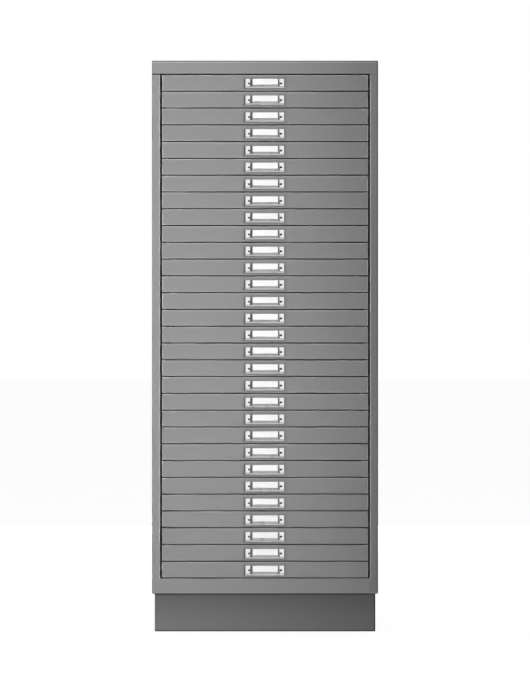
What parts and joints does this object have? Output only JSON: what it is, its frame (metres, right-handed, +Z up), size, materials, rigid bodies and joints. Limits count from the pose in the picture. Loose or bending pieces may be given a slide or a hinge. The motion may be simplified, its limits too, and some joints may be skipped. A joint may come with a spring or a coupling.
{
  "type": "metal drawer cabinet",
  "caption": "Tall narrow sheet-steel cabinet with one column of shallow sliding drawers, each with a small pull that holds a label card, on a recessed plinth.",
  "frame": {"origin": "on the floor, under the middle of the whole object with its pulls", "axes": "+Z up, +Y to the back, +X to the right of someone facing the drawers; the drawers open towards -Y"},
  "size_m": [0.438, 0.4894, 1.1091],
  "materials": {
    "cabinet_paint": "fine-textured satin powder coat, mid grey",
    "drawer_paint": "fine-textured satin powder coat, mid grey, with a nickel-plated pull",
    "plinth_paint": "fine-textured satin powder coat, darker grey",
    "runner_steel": "zinc-plated sheet steel",
    "pull_nickel": "satin nickel plate",
    "rivet_steel": "dark plated steel rivets",
    "label_card": "blank white card"
  },
  "bodies": {
    "cabinet": {"top_panel": "cabinet_paint", "left_side_panel": "cabinet_paint", "right_side_panel": "cabinet_paint", "back_panel": "cabinet_paint", "base_panel": "cabinet_paint", "bottom_rail": "cabinet_paint", "left_rear_upright": "cabinet_paint", "right_rear_upright": "cabinet_paint", "left_runners": "runner_steel", "right_runners": "runner_steel", "plinth_front": "plinth_paint", "plinth_rear": "plinth_paint", "plinth_left": "plinth_paint", "plinth_right": "plinth_paint"},
    "drawer_01": {"drawer_01": "drawer_paint"},
    "drawer_02": {"drawer_02": "drawer_paint"},
    "drawer_03": {"drawer_03": "drawer_paint"},
    "drawer_04": {"drawer_04": "drawer_paint"},
    "drawer_05": {"drawer_05": "drawer_paint"},
    "drawer_06": {"drawer_06": "drawer_paint"},
    "drawer_07": {"drawer_07": "drawer_paint"},
    "drawer_08": {"drawer_08": "drawer_paint"},
    "drawer_09": {"drawer_09": "drawer_paint"},
    "drawer_10": {"drawer_10": "drawer_paint"},
    "drawer_11": {"drawer_11": "drawer_paint"},
    "drawer_12": {"drawer_12": "drawer_paint"},
    "drawer_13": {"drawer_13": "drawer_paint"},
    "drawer_14": {"drawer_14": "drawer_paint"},
    "drawer_15": {"drawer_15": "drawer_paint"},
    "drawer_16": {"drawer_16": "drawer_paint"},
    "drawer_17": {"drawer_17": "drawer_paint"},
    "drawer_18": {"drawer_18": "drawer_paint"},
    "drawer_19": {"drawer_19": "drawer_paint"},
    "drawer_20": {"drawer_20": "drawer_paint"},
    "drawer_21": {"drawer_21": "drawer_paint"},
    "drawer_22": {"drawer_22": "drawer_paint"},
    "drawer_23": {"drawer_23": "drawer_paint"},
    "drawer_24": {"drawer_24": "drawer_paint"},
    "drawer_25": {"drawer_25": "drawer_paint"},
    "drawer_26": {"drawer_26": "drawer_paint"},
    "drawer_27": {"drawer_27": "drawer_paint"},
    "drawer_28": {"drawer_28": "drawer_paint"},
    "drawer_29": {"drawer_29": "drawer_paint"},
    "drawer_30": {"drawer_30": "drawer_paint"}
  },
  "joints": [
    {"name": "drawer_01_slide", "type": "slide", "parent": "cabinet", "child": "drawer_01", "axis": [0, -1, 0], "range_m": [0, 0.337]},
    {"name": "drawer_02_slide", "type": "slide", "parent": "cabinet", "child": "drawer_02", "axis": [0, -1, 0], "range_m": [0, 0.337]},
    {"name": "drawer_03_slide", "type": "slide", "parent": "cabinet", "child": "drawer_03", "axis": [0, -1, 0], "range_m": [0, 0.337]},
    {"name": "drawer_04_slide", "type": "slide", "parent": "cabinet", "child": "drawer_04", "axis": [0, -1, 0], "range_m": [0, 0.337]},
    {"name": "drawer_05_slide", "type": "slide", "parent": "cabinet", "child": "drawer_05", "axis": [0, -1, 0], "range_m": [0, 0.337]},
    {"name": "drawer_06_slide", "type": "slide", "parent": "cabinet", "child": "drawer_06", "axis": [0, -1, 0], "range_m": [0, 0.337]},
    {"name": "drawer_07_slide", "type": "slide", "parent": "cabinet", "child": "drawer_07", "axis": [0, -1, 0], "range_m": [0, 0.337]},
    {"name": "drawer_08_slide", "type": "slide", "parent": "cabinet", "child": "drawer_08", "axis": [0, -1, 0], "range_m": [0, 0.337]},
    {"name": "drawer_09_slide", "type": "slide", "parent": "cabinet", "child": "drawer_09", "axis": [0, -1, 0], "range_m": [0, 0.337]},
    {"name": "drawer_10_slide", "type": "slide", "parent": "cabinet", "child": "drawer_10", "axis": [0, -1, 0], "range_m": [0, 0.337]},
    {"name": "drawer_11_slide", "type": "slide", "parent": "cabinet", "child": "drawer_11", "axis": [0, -1, 0], "range_m": [0, 0.337]},
    {"name": "drawer_12_slide", "type": "slide", "parent": "cabinet", "child": "drawer_12", "axis": [0, -1, 0], "range_m": [0, 0.337]},
    {"name": "drawer_13_slide", "type": "slide", "parent": "cabinet", "child": "drawer_13", "axis": [0, -1, 0], "range_m": [0, 0.337]},
    {"name": "drawer_14_slide", "type": "slide", "parent": "cabinet", "child": "drawer_14", "axis": [0, -1, 0], "range_m": [0, 0.337]},
    {"name": "drawer_15_slide", "type": "slide", "parent": "cabinet", "child": "drawer_15", "axis": [0, -1, 0], "range_m": [0, 0.337]},
    {"name": "drawer_16_slide", "type": "slide", "parent": "cabinet", "child": "drawer_16", "axis": [0, -1, 0], "range_m": [0, 0.337]},
    {"name": "drawer_17_slide", "type": "slide", "parent": "cabinet", "child": "drawer_17", "axis": [0, -1, 0], "range_m": [0, 0.337]},
    {"name": "drawer_18_slide", "type": "slide", "parent": "cabinet", "child": "drawer_18", "axis": [0, -1, 0], "range_m": [0, 0.337]},
    {"name": "drawer_19_slide", "type": "slide", "parent": "cabinet", "child": "drawer_19", "axis": [0, -1, 0], "range_m": [0, 0.337]},
    {"name": "drawer_20_slide", "type": "slide", "parent": "cabinet", "child": "drawer_20", "axis": [0, -1, 0], "range_m": [0, 0.337]},
    {"name": "drawer_21_slide", "type": "slide", "parent": "cabinet", "child": "drawer_21", "axis": [0, -1, 0], "range_m": [0, 0.337]},
    {"name": "drawer_22_slide", "type": "slide", "parent": "cabinet", "child": "drawer_22", "axis": [0, -1, 0], "range_m": [0, 0.337]},
    {"name": "drawer_23_slide", "type": "slide", "parent": "cabinet", "child": "drawer_23", "axis": [0, -1, 0], "range_m": [0, 0.337]},
    {"name": "drawer_24_slide", "type": "slide", "parent": "cabinet", "child": "drawer_24", "axis": [0, -1, 0], "range_m": [0, 0.337]},
    {"name": "drawer_25_slide", "type": "slide", "parent": "cabinet", "child": "drawer_25", "axis": [0, -1, 0], "range_m": [0, 0.337]},
    {"name": "drawer_26_slide", "type": "slide", "parent": "cabinet", "child": "drawer_26", "axis": [0, -1, 0], "range_m": [0, 0.337]},
    {"name": "drawer_27_slide", "type": "slide", "parent": "cabinet", "child": "drawer_27", "axis": [0, -1, 0], "range_m": [0, 0.337]},
    {"name": "drawer_28_slide", "type": "slide", "parent": "cabinet", "child": "drawer_28", "axis": [0, -1, 0], "range_m": [0, 0.337]},
    {"name": "drawer_29_slide", "type": "slide", "parent": "cabinet", "child": "drawer_29", "axis": [0, -1, 0], "range_m": [0, 0.337]},
    {"name": "drawer_30_slide", "type": "slide", "parent": "cabinet", "child": "drawer_30", "axis": [0, -1, 0], "range_m": [0, 0.337]}
  ]
}
